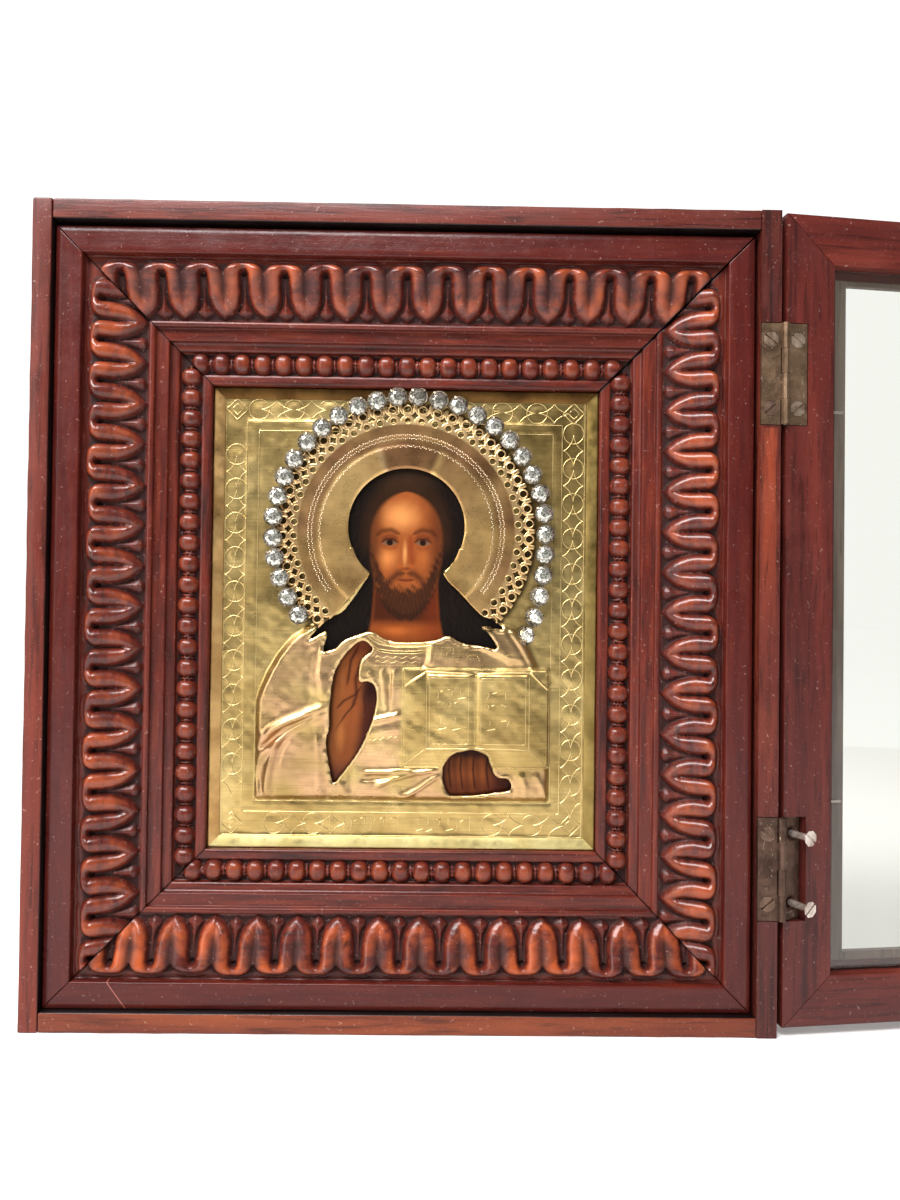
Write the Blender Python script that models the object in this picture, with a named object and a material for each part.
"""Travel icon: a brass-covered icon in a carved frame, inside a shallow wooden case with a glazed door.

Metres, +X right, +Y back, +Z up. The origin is the centre of the case's underside, and the front faces -Y.
The door is modelled open, as it stands in the photograph, on an empty that sits on its hinge axis.
Sizes run from the icon outwards: icon, sight, carved frame, case, door.
"""

import math

import bmesh
import bpy
from mathutils import Matrix, Vector

MM = 0.001

# General clearances
GAP = 0.3 * MM
HARDWARE_GAP = 0.12 * MM

# Icon and its brass cover
ICON_W = 160.4 * MM
ICON_H = 189.4 * MM
ICON_T = 21.4 * MM
RIZA_T = 1.0 * MM
BUST_RISE = 2.6 * MM
FOLD_RISE = 1.3 * MM
BOOK_RISE = 3.6 * MM

# Halo and its chain of stones
HALO_INNER_R = 24.0 * MM
HALO_OUTER_R = 50.6 * MM
HALO_T = 0.6 * MM
HALO_RIM_RISE = 0.8 * MM
HALO_HOLES = 39
HALO_HOLE = 3.0 * MM
HALO_START = -50.0
HALO_SWEEP = 280.0
HALO_RISE = 0.5 * MM
HEAD_X = 0.4 * MM
HEAD_RISE = 2.5 * MM
STONES = 30
STONE_OUT = 3.3 * MM
STONE_W = 6.2 * MM
STONE_H = 3.2 * MM
STONE_LINK_W = 1.4 * MM
STONE_FIRST_ANGLE = -34.0
STONE_LAST_ANGLE = 217.0
STONE_X_OFFSET = 1.3 * MM
STONE_TOP_CLEARANCE = 0.4 * MM

# Carved inner frame: widths run in from its outer edge, depths back from the case's front
LIP_OVERLAP = 4.2 * MM
FRAME_BAND_W = 9.8 * MM
FRAME_STEP_W = 1.2 * MM
LEAF_W = 21.6 * MM
FILLET_OUTER_W = 2.6 * MM
FILLET_INNER_W = 5.0 * MM
COVE_W = 3.6 * MM
BEAD_ROW_W = 8.4 * MM
LIP_W = 4.0 * MM
FRAME_RECESS = 3.0 * MM
LEAF_OUTER_DEPTH = 6.8 * MM
LEAF_INNER_DEPTH = 12.4 * MM
LEAF_RISE = 2.7 * MM
FILLET_OUTER_DEPTH = 11.0 * MM
FILLET_INNER_DEPTH = 13.2 * MM
COVE_DEPTH = 15.2 * MM
BEAD_BASE_DEPTH = 18.2 * MM
BEAD_RISE = 3.9 * MM
LIP_DEPTH = 16.6 * MM
REBATE_DEPTH = 20.6 * MM
FRAME_BACK_DEPTH = 30.0 * MM
ARRIS = 0.3 * MM
LEAF_PITCH = 15.6 * MM
LEAF_SIDE_DROP = 4.5 * MM
BEAD_PITCH = 8.13 * MM
OPEN_MITRE = 0.9 * MM

# Brass slip in the sight
SLIP_W = 4.6 * MM
SLIP_EDGE_T = 0.5 * MM

# Case
WALL = 7.6 * MM
FRAME_PLAY = 1.5 * MM
BACK_T = 6.0 * MM

# Door
DOOR_T = 15.0 * MM
DOOR_RAIL_W = 19.0 * MM
DOOR_LEDGE_W = 3.6 * MM
DOOR_REBATE = 6.0 * MM
GLASS_T = 2.0 * MM
DOOR_TOP_DROP = 0.8 * MM
DOOR_BOTTOM_RISE = 3.7 * MM
OPEN_BEYOND_FLAT = 7.3
BRAD_L = 8.0 * MM
BRAD_W = 0.9 * MM
BRAD_IN_WOOD = 2.5 * MM
BRAD_HEIGHTS = (0.2715, 0.756)

# Hinges
ROUND_SIDES = 8
HINGE_L = 38.4 * MM
HINGE_LEAF_T = 1.2 * MM
HINGE_R = 1.5 * MM
PIN_R = 0.75 * MM
PIN_PLAY = 0.09 * MM
KNUCKLES = 4
AXIS_FROM_CASE = 1.45 * MM
AXIS_FROM_DOOR = 0.75 * MM
AXIS_PROUD = 0.4 * MM
HINGE_UPPER_INSET = 62.1 * MM
HINGE_LOWER_INSET = 62.9 * MM
MORTISE_GAP = 0.3 * MM
SCREW_HEAD_R = 3.0 * MM
SCREW_HEAD_T = 1.0 * MM
SCREW_SHANK_R = 1.3 * MM
SCREW_L = 13.0 * MM
CASE_SCREW_L = 9.0 * MM
SCREW_INSET = 6.2 * MM
SCREW_SLOT_W = 0.7 * MM
SCREW_SLOT_T = 0.5 * MM
LOOSE_LEAF_TILT = 17.7
LOOSE_SCREW_OUT = 9.0 * MM

# The figure is drawn on an icon DRAWN_H high: its outlines are shares of the icon's height, and hang from its head
DRAWN_H = 189.4
DRAWN_HEAD = (0.4, 36.4)
DRAWN_HEAD_R = 23.3

# Worked out from the sizes above
SIGHT_W = ICON_W + 2 * GAP - 2 * LIP_OVERLAP
SIGHT_H = ICON_H + 2 * GAP - 2 * LIP_OVERLAP
MEMBER_W = (
    FRAME_BAND_W + FRAME_STEP_W + LEAF_W + FILLET_OUTER_W + FILLET_INNER_W + COVE_W + BEAD_ROW_W + LIP_W
)
FRAME_W = SIGHT_W + 2 * MEMBER_W
FRAME_H = SIGHT_H + 2 * MEMBER_W
INNER_W = FRAME_W + GAP + FRAME_PLAY
INNER_H = FRAME_H + GAP + FRAME_PLAY
CASE_W = INNER_W + 2 * WALL
CASE_H = INNER_H + 2 * WALL
RIZA_DEPTH = REBATE_DEPTH + GAP
ICON_DEPTH = RIZA_DEPTH + RIZA_T + GAP
BACK_DEPTH = ICON_DEPTH + ICON_T + GAP
CASE_D = BACK_DEPTH + BACK_T
FRONT = -CASE_D / 2
FRAME_X = -CASE_W / 2 + WALL + GAP + FRAME_W / 2
FRAME_Z = WALL + GAP + FRAME_H / 2
LEAF_START = FRAME_BAND_W + FRAME_STEP_W
LEAF_END = LEAF_START + LEAF_W
BEAD_START = LEAF_END + FILLET_OUTER_W + FILLET_INNER_W + COVE_W
BEAD_END = BEAD_START + BEAD_ROW_W
REBATE_RUN = MEMBER_W - LIP_OVERLAP
DOOR_W = CASE_W
DOOR_H = CASE_H - DOOR_TOP_DROP - DOOR_BOTTOM_RISE
AXIS_X = CASE_W / 2 + AXIS_FROM_CASE
AXIS_Y = FRONT - AXIS_PROUD
LEAF_REACH = AXIS_FROM_CASE + WALL
SCREW_SPREAD = HINGE_L - 2 * SCREW_INSET
# The chain lies on the halo's rim, and at the top it passes in front of the slip
STONE_BACK = 2 * GAP + HALO_RIM_RISE + HALO_T
SLIP_FRONT_DEPTH = REBATE_DEPTH - HALO_RIM_RISE - HALO_T
# The chain clears the lip above it, the halo stands inside the chain, and the figure hangs from the halo
STONE_RING_R = HALO_OUTER_R + STONE_OUT
STONE_Z = SIGHT_H / 2 - STONE_TOP_CLEARANCE - STONE_W / 2 - STONE_RING_R
STONE_CENTRE = (HEAD_X + STONE_X_OFFSET, STONE_Z)
HALO_CENTRE = (HEAD_X, STONE_Z + HALO_RISE)
FIGURE_UNIT = ICON_H / DRAWN_H
FIGURE_Z = HALO_CENTRE[1] + HEAD_RISE - DRAWN_HEAD[1] * FIGURE_UNIT


def clear_scene():
    for old in list(bpy.data.objects):
        bpy.data.objects.remove(old)


def material(name, color, roughness, metallic=0.0, transmission=0.0):
    made = bpy.data.materials.new(name)
    made.use_nodes = True
    shader = made.node_tree.nodes["Principled BSDF"]
    shader.inputs["Base Color"].default_value = (*color, 1.0)
    shader.inputs["Roughness"].default_value = roughness
    shader.inputs["Metallic"].default_value = metallic
    shader.inputs["Transmission Weight"].default_value = transmission
    made.diffuse_color = (*color, 1.0)
    return made


# Mesh helpers


def add_object(name, mesh, look, place=None, parent=None):
    made = bpy.data.objects.new(name, mesh)
    bpy.context.scene.collection.objects.link(made)
    made.data.materials.append(look)
    made.parent = parent
    made.matrix_basis = place or Matrix.Identity(4)
    return made


def mesh_from_faces(name, faces):
    """A mesh from faces given as lists of points. Equal points are one vertex, and a face that collapses is left out."""
    index = {}
    points = []
    loops = []
    for face in faces:
        loop = []
        for point in face:
            key = tuple(round(c * 1e7) for c in point)
            if key not in index:
                index[key] = len(points)
                points.append(point)
            if not loop or loop[-1] != index[key]:
                loop.append(index[key])
        if loop[0] == loop[-1]:
            loop.pop()
        if len(loop) > 2:
            loops.append(loop)
    mesh = bpy.data.meshes.new(name)
    mesh.from_pydata(points, [], loops)
    form = bmesh.new()
    form.from_mesh(mesh)
    bmesh.ops.recalc_face_normals(form, faces=form.faces)
    form.to_mesh(mesh)
    form.free()
    return mesh


def block_faces(low, high):
    (x0, y0, z0), (x1, y1, z1) = low, high
    ring = [(x0, y0), (x1, y0), (x1, y1), (x0, y1)]
    return prism_faces(ring, z0, z1)


def prism_faces(ring, z0, z1):
    """The faces of a prism whose plan is ring, between two heights."""
    count = len(ring)
    faces = [[(x, y, z0) for x, y in reversed(ring)], [(x, y, z1) for x, y in ring]]
    for i in range(count):
        (ax, ay), (bx, by) = ring[i], ring[(i + 1) % count]
        faces.append([(ax, ay, z0), (bx, by, z0), (bx, by, z1), (ax, ay, z1)])
    return faces


def block(name, low, high, look, parent=None):
    """A box with its object's origin at its middle."""
    middle = (Vector(low) + Vector(high)) / 2
    half = (Vector(high) - Vector(low)) / 2
    mesh = mesh_from_faces(name, block_faces(tuple(-half), tuple(half)))
    return add_object(name, mesh, look, Matrix.Translation(middle), parent)


def boolean(target, operation, other):
    """Joins another object to the target, or cuts it away, and keeps it as a hidden guide."""
    other.hide_render = True
    other.display_type = "WIRE"
    step = target.modifiers.new(other.name, "BOOLEAN")
    step.operation = operation
    step.solver = "EXACT"
    step.object = other


def helper(name, faces, place=None, parent=None):
    """A guide or cutter for a Boolean."""
    mesh = mesh_from_faces(name, faces)
    made = bpy.data.objects.new(name, mesh)
    bpy.context.scene.collection.objects.link(made)
    made.parent = parent
    made.matrix_basis = place or Matrix.Identity(4)
    return made


def arc(centre, radius, start, end, count):
    """Points round a centre, with angles in degrees, both ends included."""
    found = []
    for i in range(count + 1):
        angle = math.radians(start + (end - start) * i / count)
        found.append((centre[0] + radius * math.cos(angle), centre[1] + radius * math.sin(angle)))
    return found


def circle(centre, radius, sides, turn=0.0):
    return arc(centre, radius, turn, turn + 360 * (sides - 1) / sides, sides - 1)


# Case


def make_case(wood, back_wood):
    left, right = -CASE_W / 2, CASE_W / 2
    back = -FRONT
    boards = {
        "case_left": ((left, FRONT, 0), (left + WALL, back, CASE_H)),
        "case_right": ((right - WALL, FRONT, 0), (right, back, CASE_H)),
        "case_top": ((left + WALL + GAP, FRONT, CASE_H - WALL), (right - WALL - GAP, back, CASE_H)),
        "case_bottom": ((left + WALL + GAP, FRONT, 0), (right - WALL - GAP, back, WALL)),
    }
    made = {name: block(name, low, high, wood) for name, (low, high) in boards.items()}
    block(
        "case_back",
        (left + WALL + GAP, FRONT + BACK_DEPTH, WALL + GAP),
        (right - WALL - GAP, back, CASE_H - WALL - GAP),
        back_wood,
    )
    return made


# Carved frame

# Leaf row: one unit runs from the middle of an arch, over its eye and dart, to the vein of the next lobe.
# Columns are shares of the pitch. Each row gives its place across the leaf row and its height at the
# eye, the arch's side, the lobe's flank and the lobe's vein, as shares of LEAF_RISE.
LEAF_COLUMNS = (0.0, 0.18, 0.34, 0.5)
LEAF_ROWS = (
    (0.0, (0.0, 0.0, 0.0, 0.0)),
    (0.12, (-0.2, 0.9, 0.9, 0.15)),
    (0.8, (0.5, 0.1, 1.0, 0.8)),
    (1.0, (0.0, 0.0, 0.0, 0.0)),
)
# Bead row: the bead's flat top reaches out to the first column, and the second is the groove between beads.
BEAD_COLUMNS = (0.24, 0.5)
BEAD_ROWS = (
    (0.0, (0.0, 0.0)),
    (0.27, (0.9, 0.2)),
    (0.73, (0.9, 0.2)),
    (1.0, (0.0, 0.0)),
)


def between(xs, ys, x):
    """The value at x of the straight pieces through the points, level before the first and past the last."""
    if x <= xs[0]:
        return ys[0]
    for (x0, y0), (x1, y1) in zip(zip(xs, ys), zip(xs[1:], ys[1:])):
        if x <= x1:
            return y0 + (y1 - y0) * (x - x0) / (x1 - x0)
    return ys[-1]


def pattern_height(columns, heights, place, count):
    """Height of a repeated carving at a place counted in pitches from its middle; flat past its last unit."""
    middle = (count - 1) / 2
    if abs(place) > middle + 0.5:
        return 0.0
    share = abs((place + middle + 0.5) % 1.0 - 0.5)
    return between(columns, heights, share)


def column_places(columns, count, pitch, shift):
    """Every column's distance from the member's middle."""
    offsets = sorted({-c for c in columns} | set(columns))
    middles = [(unit - (count - 1) / 2) * pitch + shift for unit in range(count)]
    found = [middles[0] + offsets[0] * pitch]
    for middle in middles:
        found += [middle + offset * pitch for offset in offsets[1:]]
    return found


def carved_rows(length, start, width, table, columns, count, pitch, shift, depth_at, rise, ends):
    """Rows of points across a carved strip. A row is (run, [(along, depth), ...])."""
    places = column_places(columns, count, pitch, shift)
    rows = []
    for share, heights in table:
        run = start + share * width
        low = -(length / 2 - run) + ends[0]
        high = (length / 2 - run) - ends[1]
        row = []
        for place in [low] + places + [high]:
            along = min(max(place, low), high)
            height = pattern_height(columns, heights, (along - shift) / pitch, count)
            row.append((along, depth_at(share) - height * rise))
        rows.append((run, row))
    return rows


def leaf_ground(share):
    """The leaf row's ground falls towards the picture in an S curve."""
    eased = share * share * (3 - 2 * share)
    return LEAF_OUTER_DEPTH + (LEAF_INNER_DEPTH - LEAF_OUTER_DEPTH) * eased


def member_faces(length, shift, gaps):
    """One mitred length of the carved frame: x along it, y back, z in from its outer edge."""
    ends = [gap * math.sqrt(2) / 2 for gap in gaps]

    def plain(run, depth):
        low = -(length / 2 - run) + ends[0]
        high = (length / 2 - run) - ends[1]
        return run, [(low, depth), (high, depth)]

    leaf_middle = LEAF_START + 0.15 * LEAF_W
    leaves = 2 * int((length / 2 - leaf_middle) / LEAF_PITCH) + 1
    bead_middle = BEAD_START + BEAD_ROW_W / 2
    beads = round((length - 2 * bead_middle) / BEAD_PITCH)
    fillet = LEAF_END + FILLET_OUTER_W
    cove = fillet + FILLET_INNER_W
    rows = [plain(0, FRAME_RECESS), plain(FRAME_BAND_W, FRAME_RECESS)]
    rows += carved_rows(
        length, LEAF_START, LEAF_W, LEAF_ROWS, LEAF_COLUMNS, leaves, LEAF_PITCH, shift, leaf_ground, LEAF_RISE, ends
    )
    rows += [
        plain(LEAF_END + ARRIS, FILLET_OUTER_DEPTH),
        plain(fillet - ARRIS, FILLET_OUTER_DEPTH),
        plain(fillet, FILLET_INNER_DEPTH),
        plain(cove - ARRIS, FILLET_INNER_DEPTH),
        plain(cove, COVE_DEPTH),
    ]
    rows += carved_rows(
        length,
        BEAD_START,
        BEAD_ROW_W,
        BEAD_ROWS,
        BEAD_COLUMNS,
        beads,
        BEAD_PITCH,
        0.0,
        lambda share: BEAD_BASE_DEPTH,
        BEAD_RISE,
        ends,
    )
    rows += [
        plain(BEAD_END + ARRIS, LIP_DEPTH),
        plain(MEMBER_W - ARRIS, LIP_DEPTH),
        plain(MEMBER_W, LIP_DEPTH + 2 * ARRIS),
        plain(MEMBER_W, REBATE_DEPTH),
        plain(REBATE_RUN, REBATE_DEPTH),
        plain(REBATE_RUN, FRAME_BACK_DEPTH),
        plain(0, FRAME_BACK_DEPTH),
    ]
    lines = [[(along, depth, run) for along, depth in row] for run, row in rows]
    faces = []
    for outer, inner in zip(lines, lines[1:] + lines[:1]):
        if len(outer) == len(inner) and len(outer) > 2:
            faces += [[a, b, d, c] for a, b, c, d in zip(outer, outer[1:], inner, inner[1:])]
        else:
            faces.append(outer + inner[::-1])
    faces.append([line[0] for line in lines])
    faces.append([line[-1] for line in lines][::-1])
    return faces


def make_frame(wood):
    """The four lengths meet at mitres. The top one stands open at its right end, as in the photograph."""
    sides = {
        "frame_bottom": (0, FRAME_W, (0, -FRAME_H / 2), 0.0, (GAP, GAP)),
        "frame_right": (-90, FRAME_H, (FRAME_W / 2, 0), -LEAF_SIDE_DROP, (GAP, OPEN_MITRE)),
        "frame_top": (180, FRAME_W, (0, FRAME_H / 2), 0.0, (OPEN_MITRE, GAP)),
        "frame_left": (90, FRAME_H, (-FRAME_W / 2, 0), LEAF_SIDE_DROP, (GAP, GAP)),
    }
    for name, (turn, length, (x, z), shift, gaps) in sides.items():
        mesh = mesh_from_faces(name, member_faces(length, shift, gaps))
        place = Matrix.Translation((FRAME_X + x, FRONT, FRAME_Z + z)) @ Matrix.Rotation(math.radians(turn), 4, "Y")
        add_object(name, mesh, wood, place)


def ring_faces(half_w, half_h, section):
    """A rectangular ring: section is a closed outline of (in from the edge, back)."""
    corners = [(-1, -1), (1, -1), (1, 1), (-1, 1)]
    loops = [[(sx * (half_w - run), y, sz * (half_h - run)) for run, y in section] for sx, sz in corners]
    faces = []
    for near, far in zip(loops, loops[1:] + loops[:1]):
        count = len(section)
        for i in range(count):
            j = (i + 1) % count
            faces.append([near[i], near[j], far[j], far[i]])
    return faces


def icon_place(depth):
    """Local x and z about the icon's middle, y back from the given depth."""
    return Matrix.Translation((FRAME_X, FRONT + depth, FRAME_Z))


def make_slip(brass):
    section = [
        (GAP, SLIP_FRONT_DEPTH),
        (GAP + SLIP_EDGE_T, SLIP_FRONT_DEPTH),
        (SLIP_W, REBATE_DEPTH - SLIP_EDGE_T),
        (SLIP_W, REBATE_DEPTH),
        (GAP, REBATE_DEPTH),
    ]
    mesh = mesh_from_faces("sight_slip", ring_faces(SIGHT_W / 2, SIGHT_H / 2, section))
    add_object("sight_slip", mesh, brass, icon_place(0))


# Icon, brass cover, halo and stones


def figure(points):
    return [(x * FIGURE_UNIT, FIGURE_Z + z * FIGURE_UNIT) for x, z in points]


def plate_faces(outline, front, back):
    """A flat plate with an upright outline of (x, z), between two depths."""
    return [[(x, z, y) for x, y, z in face] for face in prism_faces(outline, front, back)]


def crowned_faces(outline, back, steps):
    """A plate whose front rises in steps of (inward share, height) towards the outline's middle."""
    cx = sum(x for x, _ in outline) / len(outline)
    cz = sum(z for _, z in outline) / len(outline)
    rings = [[(x, back, z) for x, z in outline]]
    for share, height in steps:
        rings.append([(x + (cx - x) * share, -height, z + (cz - z) * share) for x, z in outline])
    faces = [rings[0][::-1], rings[-1]]
    for low, high in zip(rings, rings[1:]):
        for i in range(len(outline)):
            j = (i + 1) % len(outline)
            faces.append([low[i], low[j], high[j], high[i]])
    return faces


def head_opening():
    """The cut-out for head and hair: a circle that runs out into locks on both shoulders."""
    left_locks = [(-38.5, -10.1), (-32.2, -13.8), (-20.5, -7.6), (-12.5, -5.4)]
    neckline = [(2.5, -9.2), (18.3, -6.3)]
    right_locks = [(38.0, -12.4), (36.4, -8.6), (38.5, -3.8)]
    return arc(DRAWN_HEAD, DRAWN_HEAD_R, -51, 233, 18) + left_locks + neckline + right_locks


BLESSING_HAND = (
    (-15.5, -8.8),
    (-11.7, -12.5),
    (-16.3, -16.3),
    (-16.6, -25.5),
    (-12.9, -25.2),
    (-10.1, -27.6),
    (-10.0, -32.9),
    (-15.1, -49.1),
    (-27.0, -65.8),
    (-28.9, -48.1),
    (-27.4, -43.8),
    (-28.1, -31.5),
    (-24.3, -16.9),
)
BOOK_HAND = (
    (17.3, -58.0),
    (22.8, -51.5),
    (28.0, -50.7),
    (34.9, -53.5),
    (37.7, -62.2),
    (42.0, -62.4),
    (44.9, -65.8),
    (44.2, -67.6),
    (27.3, -69.3),
    (19.9, -69.6),
    (17.6, -66.0),
)
BUST = (
    (-42.0, -5.5),
    (-50.5, -16.0),
    (-55.7, -30.5),
    (-56.3, -72.0),
    (58.8, -71.7),
    (59.0, -31.0),
    (52.0, -11.5),
    (41.0, -1.0),
    (30.0, -6.0),
    (8.0, -11.5),
    (-14.0, -6.5),
    (-30.0, -15.5),
)
BOOK = ((0.9, -19.4), (59.1, -18.9), (59.3, -58.6), (1.3, -58.8))
# Each fold of the cloak runs between two points, with its width at either end.
FOLDS = (
    ((-46.0, -18.0), (-34.0, -50.0), 5.0, 3.0),
    ((-52.0, -34.0), (-38.0, -68.0), 4.5, 6.0),
    ((-38.0, -22.0), (-30.5, -40.0), 4.0, 2.5),
    ((-8.0, -44.0), (-22.0, -66.0), 4.0, 5.5),
    ((-2.0, -52.0), (-8.0, -69.0), 4.5, 6.0),
    ((4.0, -63.0), (15.0, -69.0), 4.0, 5.0),
    ((6.0, -14.5), (40.0, -13.0), 2.5, 3.5),
    ((-12.0, -9.5), (-6.0, -24.0), 3.0, 4.0),
)


def fold_outline(start, end, start_w, end_w):
    a, b = Vector(start), Vector(end)
    across = Vector((a.y - b.y, b.x - a.x)).normalized()
    return [
        tuple(a + across * start_w / 2),
        tuple(a.lerp(b, 0.5) + across * (start_w + end_w) / 3),
        tuple(b + across * end_w / 2),
        tuple(b - across * end_w / 2),
        tuple(a.lerp(b, 0.5) - across * (start_w + end_w) / 5),
        tuple(a - across * start_w / 2),
    ]


def make_riza(brass):
    """The cover is a plate with the bust, folds and book raised on it, and three cut-outs."""
    place = icon_place(RIZA_DEPTH)
    half_w, half_h = ICON_W / 2, ICON_H / 2
    edge = [(-half_w, -half_h), (half_w, -half_h), (half_w, half_h), (-half_w, half_h)]
    mesh = mesh_from_faces("riza", plate_faces(edge, 0, RIZA_T))
    riza = add_object("riza", mesh, brass, place)
    inside = RIZA_T / 2
    bust = helper(
        "bust_form",
        crowned_faces(figure(BUST), inside, ((0.0, 0.4 * BUST_RISE), (0.12, BUST_RISE), (0.5, 1.1 * BUST_RISE))),
        place,
    )
    boolean(riza, "UNION", bust)
    for number, (start, end, start_w, end_w) in enumerate(FOLDS):
        outline = figure(fold_outline(start, end, start_w, end_w))
        rise = BUST_RISE + FOLD_RISE
        fold = helper(f"fold_form_{number}", crowned_faces(outline, inside, ((0.0, BUST_RISE), (0.6, rise))), place)
        boolean(riza, "UNION", fold)
    book = helper(
        "book_form",
        crowned_faces(figure(BOOK), inside, ((0.0, BOOK_RISE - FOLD_RISE), (0.17, BOOK_RISE), (0.26, BOOK_RISE - FOLD_RISE))),
        place,
    )
    boolean(riza, "UNION", book)
    openings = {
        "head_cutter": head_opening(),
        "blessing_hand_cutter": list(BLESSING_HAND),
        "book_hand_cutter": list(BOOK_HAND),
    }
    reach = BOOK_RISE + 2 * RIZA_T
    for name, outline in openings.items():
        cutter = helper(name, plate_faces(figure(outline), -reach, reach), place)
        boolean(riza, "DIFFERENCE", cutter)
    return riza


def make_icon_panel(wood):
    half = (ICON_W / 2, ICON_T / 2, ICON_H / 2)
    mesh = mesh_from_faces("icon_panel", block_faces(tuple(-h for h in half), half))
    add_object("icon_panel", mesh, wood, icon_place(ICON_DEPTH + ICON_T / 2))


def halo_line(radius, y, count):
    points = arc((0, 0), radius, HALO_START, HALO_START + HALO_SWEEP, count)
    return [(HALO_CENTRE[0] + x, y, HALO_CENTRE[1] + z) for x, z in points]


def make_halo(brass):
    """A dished ring that stops at the hair on either side, pierced round its rim."""
    count = HALO_HOLES
    clear = -GAP
    lines = [
        halo_line(HALO_INNER_R, clear, count),
        halo_line(HALO_OUTER_R, clear - HALO_RIM_RISE, count),
        halo_line(HALO_OUTER_R, clear - HALO_RIM_RISE - HALO_T, count),
        halo_line(HALO_INNER_R, clear - HALO_T, count),
    ]
    faces = []
    for near, far in zip(lines, lines[1:] + lines[:1]):
        faces += [[a, b, d, c] for a, b, c, d in zip(near, near[1:], far, far[1:])]
    faces += [[line[0] for line in lines], [line[-1] for line in lines][::-1]]
    halo = add_object("halo", mesh_from_faces("halo", faces), brass, icon_place(RIZA_DEPTH))
    holes = []
    ring_r = HALO_OUTER_R - 1.35 * HALO_HOLE
    for number in range(HALO_HOLES):
        angle = math.radians(HALO_START + HALO_SWEEP * (number + 0.5) / HALO_HOLES)
        centre = (HALO_CENTRE[0] + ring_r * math.cos(angle), HALO_CENTRE[1] + ring_r * math.sin(angle))
        outline = circle(centre, HALO_HOLE / 2, 4, math.degrees(angle))
        holes += plate_faces(outline, -2 * HALO_RIM_RISE, 2 * HALO_RIM_RISE)
    boolean(halo, "DIFFERENCE", helper("halo_hole_cutter", holes, icon_place(RIZA_DEPTH)))


def make_stones(glass):
    """One chain: each stone swells from a narrow link, stands up to its table, and narrows to the next link."""
    step = (STONE_LAST_ANGLE - STONE_FIRST_ANGLE) / (STONES - 1)
    share = STONE_W / 2 / (math.radians(step) * STONE_RING_R)
    back = -STONE_BACK
    sections = []
    for number in range(STONES):
        middle = STONE_FIRST_ANGLE + number * step
        for place, width, height in ((-share, 0.35, 0.35), (-share / 2, 1.0, 1.0), (share / 2, 1.0, 1.0), (share, 0.35, 0.35)):
            angle = math.radians(middle + place * step)
            half_back = max(STONE_LINK_W, width * STONE_W) / 2
            half_front = half_back * 0.6
            top = back - STONE_H * height
            section = []
            for radius, y in (
                (STONE_RING_R - half_back, back),
                (STONE_RING_R + half_back, back),
                (STONE_RING_R + half_front, top),
                (STONE_RING_R - half_front, top),
            ):
                x = STONE_CENTRE[0] + radius * math.cos(angle)
                section.append((x, y, STONE_CENTRE[1] + radius * math.sin(angle)))
            sections.append(section)
    faces = [sections[0], sections[-1][::-1]]
    for near, far in zip(sections, sections[1:]):
        for i in range(4):
            j = (i + 1) % 4
            faces.append([near[i], near[j], far[j], far[i]])
    add_object("halo_stones", mesh_from_faces("halo_stones", faces), glass, icon_place(RIZA_DEPTH))


# Door. Its local x runs from the hinge axis across the door, y back from its inner face, z up from the case's foot.


def make_door_empty():
    empty = bpy.data.objects.new("door_hinge_axis", None)
    bpy.context.scene.collection.objects.link(empty)
    place = Matrix.Translation((AXIS_X, AXIS_Y, 0))
    empty.matrix_basis = place @ Matrix.Rotation(math.radians(OPEN_BEYOND_FLAT), 4, "Z")
    return empty


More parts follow.
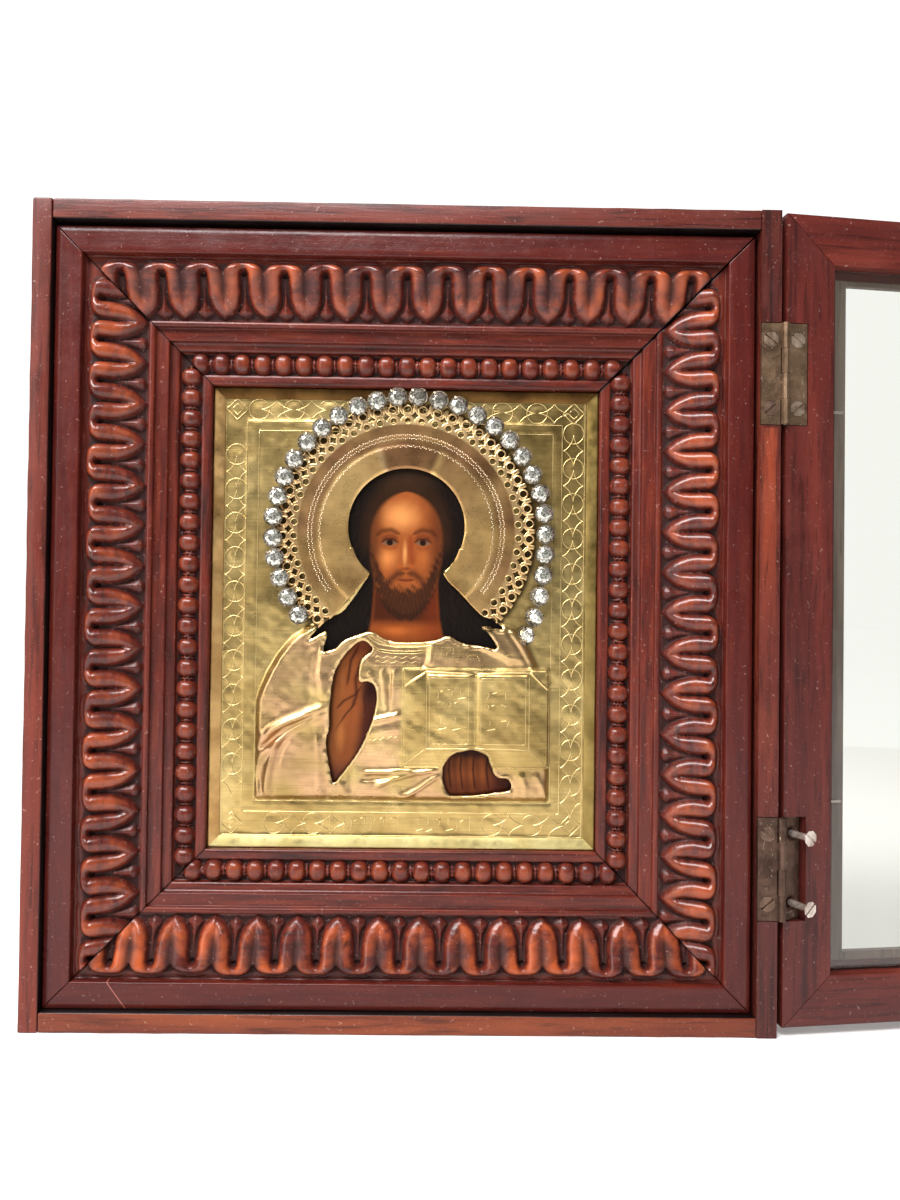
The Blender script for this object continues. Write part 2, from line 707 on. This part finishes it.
def make_door(wood, glass, steel, axis):
    left = AXIS_FROM_DOOR
    right = left + DOOR_W
    foot = DOOR_BOTTOM_RISE
    head = foot + DOOR_H
    face = AXIS_PROUD
    section = [
        (0, face),
        (DOOR_RAIL_W, face),
        (DOOR_RAIL_W, face + DOOR_REBATE),
        (DOOR_RAIL_W + DOOR_LEDGE_W, face + DOOR_REBATE),
        (DOOR_RAIL_W + DOOR_LEDGE_W, face + DOOR_T),
        (0, face + DOOR_T),
    ]
    mitre = GAP * math.sqrt(2) / 2
    bars = {
        "door_rail_bottom": (0, DOOR_W, ((left + right) / 2, foot)),
        "door_stile_free": (-90, DOOR_H, (right, (foot + head) / 2)),
        "door_rail_top": (180, DOOR_W, ((left + right) / 2, head)),
        "door_stile_hinge": (90, DOOR_H, (left, (foot + head) / 2)),
    }
    made = {}
    for name, (turn, length, (x, z)) in bars.items():
        lines = []
        for run, y in section:
            half = length / 2 - run - mitre
            lines.append([(-half, y, run), (half, y, run)])
        faces = [near + far[::-1] for near, far in zip(lines, lines[1:] + lines[:1])]
        faces += [[line[0] for line in lines], [line[-1] for line in lines][::-1]]
        place = Matrix.Translation((x, 0, z)) @ Matrix.Rotation(math.radians(turn), 4, "Y")
        made[name] = add_object(name, mesh_from_faces(name, faces), wood, place, axis)
    inset = DOOR_RAIL_W + GAP
    glass_back = face + DOOR_REBATE - GAP
    block(
        "door_glass",
        (left + inset, glass_back - GLASS_T, foot + inset),
        (right - inset, glass_back, head - inset),
        glass,
        axis,
    )
    glass_front = glass_back - GLASS_T
    for number, share in enumerate(BRAD_HEIGHTS):
        z = foot + share * DOOR_H
        for side, stile, wall, inward in (
            ("hinge", "door_stile_hinge", left + DOOR_RAIL_W, 1),
            ("free", "door_stile_free", right - DOOR_RAIL_W, -1),
        ):
            name = f"glass_brad_{side}_{number + 1}"
            y1 = glass_front - GAP
            y0 = y1 - BRAD_W
            outer = wall - inward * BRAD_IN_WOOD
            tip = outer + inward * BRAD_L
            low, high = sorted((outer, tip))
            block(name, (low, y0, z), (high, y1, z + BRAD_W), steel, axis)
            play = HARDWARE_GAP
            deep = outer - inward * play
            low, high = sorted((deep, wall + inward * BRAD_W))
            cutter = helper(
                name + "_hole", block_faces((low, y0 - play, z - play), (high, y1 + play, z + BRAD_W + play)), None, axis
            )
            boolean(made[stile], "DIFFERENCE", cutter)
    return made


# Hinges


def tube_faces(radius, bore, z0, z1, sides):
    """An upright tube, or a rod where bore is zero. The polygon of the bore stands outside its circle."""
    outer = circle((0, 0), radius, sides)
    if not bore:
        return prism_faces(outer, z0, z1)
    inner = circle((0, 0), bore / math.cos(math.pi / sides), sides)
    faces = []
    for i in range(sides):
        j = (i + 1) % sides
        (ax, ay), (bx, by) = outer[i], outer[j]
        (cx, cy), (dx, dy) = inner[i], inner[j]
        faces.append([(ax, ay, z0), (bx, by, z0), (bx, by, z1), (ax, ay, z1)])
        faces.append([(cx, cy, z1), (dx, dy, z1), (dx, dy, z0), (cx, cy, z0)])
        faces.append([(ax, ay, z1), (bx, by, z1), (dx, dy, z1), (cx, cy, z1)])
        faces.append([(cx, cy, z0), (dx, dy, z0), (bx, by, z0), (ax, ay, z0)])
    return faces


def screw_faces(length):
    """A countersunk screw along -y: its head's face is at y 0 and its tip at y length."""
    sides = ROUND_SIDES
    head = circle((0, 0), SCREW_HEAD_R, sides, 22.5)
    neck = circle((0, 0), SCREW_SHANK_R, sides, 22.5)
    tip = circle((0, 0), SCREW_SHANK_R / 3, sides, 22.5)
    levels = ((head, 0.0), (neck, SCREW_HEAD_T + SCREW_SHANK_R / 2), (neck, length * 0.75), (tip, length))
    lines = [[(x, y, z) for x, z in ring] for ring, y in levels]
    faces = [lines[0], lines[-1][::-1]]
    for near, far in zip(lines, lines[1:]):
        for i in range(sides):
            j = (i + 1) % sides
            faces.append([near[i], near[j], far[j], far[i]])
    return faces


def hole_faces(length, play):
    """The countersunk hole that clears a screw by play."""
    sides = ROUND_SIDES
    head_r = SCREW_HEAD_R + play
    neck_r = SCREW_SHANK_R + play
    levels = (
        (head_r, -SCREW_HEAD_T),
        (head_r, play / 2),
        (neck_r, SCREW_HEAD_T + SCREW_SHANK_R / 2 + play),
        (neck_r, length + play),
    )
    lines = [[(x, y, z) for x, z in circle((0, 0), radius, sides, 22.5)] for radius, y in levels]
    faces = [lines[0], lines[-1][::-1]]
    for near, far in zip(lines, lines[1:]):
        for i in range(sides):
            j = (i + 1) % sides
            faces.append([near[i], near[j], far[j], far[i]])
    return faces


def leaf_plate(name, side, first, brass, place, parent):
    """A hinge leaf with its knuckles. side is -1 for the case's leaf and 1 for the door's. Local origin: the pin's middle."""
    knuckle_l = HINGE_L / KNUCKLES
    inner, outer = sorted((side * HINGE_R * 0.6, side * (LEAF_REACH - HARDWARE_GAP)))
    front = AXIS_PROUD
    low = (inner, front, -HINGE_L / 2)
    high = (outer, front + HINGE_LEAF_T, HINGE_L / 2)
    leaf = add_object(name, mesh_from_faces(name, block_faces(low, high)), brass, place, parent)
    clear = HINGE_R + 1.5 * HARDWARE_GAP
    for number in range(KNUCKLES):
        z0 = -HINGE_L / 2 + number * knuckle_l
        own = number % 2 == first
        if own:
            faces = tube_faces(HINGE_R, PIN_R + PIN_PLAY, z0 + HARDWARE_GAP / 2, z0 + knuckle_l - HARDWARE_GAP / 2, ROUND_SIDES)
            boolean(leaf, "UNION", helper(f"{name}_knuckle_{number}", faces, place, parent))
        else:
            z_low = z0 - HARDWARE_GAP / 2 - (number == 0) * HINGE_R
            z_high = z0 + knuckle_l + HARDWARE_GAP / 2 + (number == KNUCKLES - 1) * HINGE_R
            faces = block_faces((-clear, -clear, z_low), (clear, clear, z_high))
            boolean(leaf, "DIFFERENCE", helper(f"{name}_notch_{number}", faces, place, parent))
    return leaf


def screw_row(hinge, side, leaf, board, place, parent, steel, length, out=0.0):
    """Two screws through a leaf into the board behind it. out says how far they have backed out."""
    x = side * (LEAF_REACH + HINGE_R) / 2
    made = []
    for word, sign in (("top", 1), ("bottom", -1)):
        name = f"{hinge}_screw_{word}"
        seat = place @ Matrix.Translation((x, AXIS_PROUD, sign * SCREW_SPREAD / 2))
        screw = add_object(name, mesh_from_faces(name, screw_faces(length)), steel, seat @ Matrix.Translation((0, -out, 0)), parent)
        slot = helper(
            name + "_slot",
            block_faces((-2 * SCREW_HEAD_R, -SCREW_HEAD_T, -SCREW_SLOT_W / 2), (2 * SCREW_HEAD_R, SCREW_SLOT_T, SCREW_SLOT_W / 2)),
            seat @ Matrix.Translation((0, -out, 0)) @ Matrix.Rotation(math.radians(40 * sign), 4, "Y"),
            parent,
        )
        boolean(screw, "DIFFERENCE", slot)
        hole = helper(name + "_hole", hole_faces(length, HARDWARE_GAP), seat, parent)
        boolean(leaf, "DIFFERENCE", hole)
        boolean(board, "DIFFERENCE", hole)
        made.append(screw)
    return made


def mortise(name, side, depth, board, place, parent, angle=0.0):
    """The notch that a leaf and the knuckles are let into. It opens at the board's edge and face."""
    far = side * (LEAF_REACH + MORTISE_GAP)
    near = -side * 2 * HINGE_R
    half = HINGE_L / 2 + MORTISE_GAP
    low_x, high_x = sorted((near, far))
    lift = AXIS_PROUD + depth
    faces = block_faces((low_x, -2 * HINGE_R, -half), (high_x, lift, half))
    cutter = helper(name, faces, place @ Matrix.Rotation(math.radians(angle), 4, "Z"), parent)
    boolean(board, "DIFFERENCE", cutter)


def make_hinges(case_board, door_board, brass, steel, axis):
    leaf_depth = HINGE_LEAF_T + MORTISE_GAP
    for hinge, z, first in (("hinge_upper", CASE_H - HINGE_UPPER_INSET, 1), ("hinge_lower", HINGE_LOWER_INSET, 0)):
        on_case = Matrix.Translation((AXIS_X, AXIS_Y, z))
        on_door = Matrix.Translation((0, 0, z))
        name = hinge + "_case_leaf"
        case_leaf = leaf_plate(name, -1, first, brass, on_case, None)
        mortise(name + "_mortise", -1, leaf_depth, case_board, on_case, None)
        screw_row(hinge + "_case", -1, case_leaf, case_board, on_case, None, steel, CASE_SCREW_L)
        pin = tube_faces(PIN_R, 0, -HINGE_L / 2 - HARDWARE_GAP, HINGE_L / 2 + HARDWARE_GAP, ROUND_SIDES)
        add_object(hinge + "_pin", mesh_from_faces(hinge + "_pin", pin), steel, on_case)
        name = hinge + "_door_leaf"
        if hinge == "hinge_upper":
            door_leaf = leaf_plate(name, 1, 1 - first, brass, on_door, axis)
            mortise(name + "_mortise", 1, leaf_depth, door_board, on_door, axis)
            screw_row(hinge + "_door", 1, door_leaf, door_board, on_door, axis, steel, SCREW_L)
        else:
            sunk = on_door @ Matrix.Rotation(math.radians(LOOSE_LEAF_TILT), 4, "Z")
            door_leaf = leaf_plate(name, 1, 1 - first, brass, sunk, axis)
            mortise(name + "_mortise", 1, leaf_depth, door_board, on_door, axis)
            mortise(name + "_torn_mortise", 1, leaf_depth, door_board, on_door, axis, LOOSE_LEAF_TILT)
            screw_row(hinge + "_loose", 1, door_leaf, door_board, sunk, axis, steel, SCREW_L, LOOSE_SCREW_OUT)


def main():
    clear_scene()
    case_wood = material("case_wood", (0.20, 0.045, 0.030), 0.35)
    carved_wood = material("carved_wood", (0.16, 0.035, 0.022), 0.28)
    plain_wood = material("plain_wood", (0.30, 0.18, 0.10), 0.7)
    brass = material("brass", (0.62, 0.47, 0.22), 0.3, 1.0)
    aged_brass = material("aged_brass", (0.25, 0.17, 0.10), 0.5, 1.0)
    steel = material("screw_steel", (0.55, 0.53, 0.50), 0.35, 1.0)
    paste = material("paste_stone", (0.85, 0.88, 0.88), 0.05, 0.0, 0.7)
    glass = material("window_glass", (0.9, 0.95, 0.93), 0.02, 0.0, 1.0)
    boards = make_case(case_wood, plain_wood)
    make_frame(carved_wood)
    make_slip(brass)
    make_icon_panel(plain_wood)
    make_riza(brass)
    make_halo(brass)
    make_stones(paste)
    axis = make_door_empty()
    bars = make_door(case_wood, glass, steel, axis)
    make_hinges(boards["case_right"], bars["door_stile_hinge"], aged_brass, steel, axis)


main()
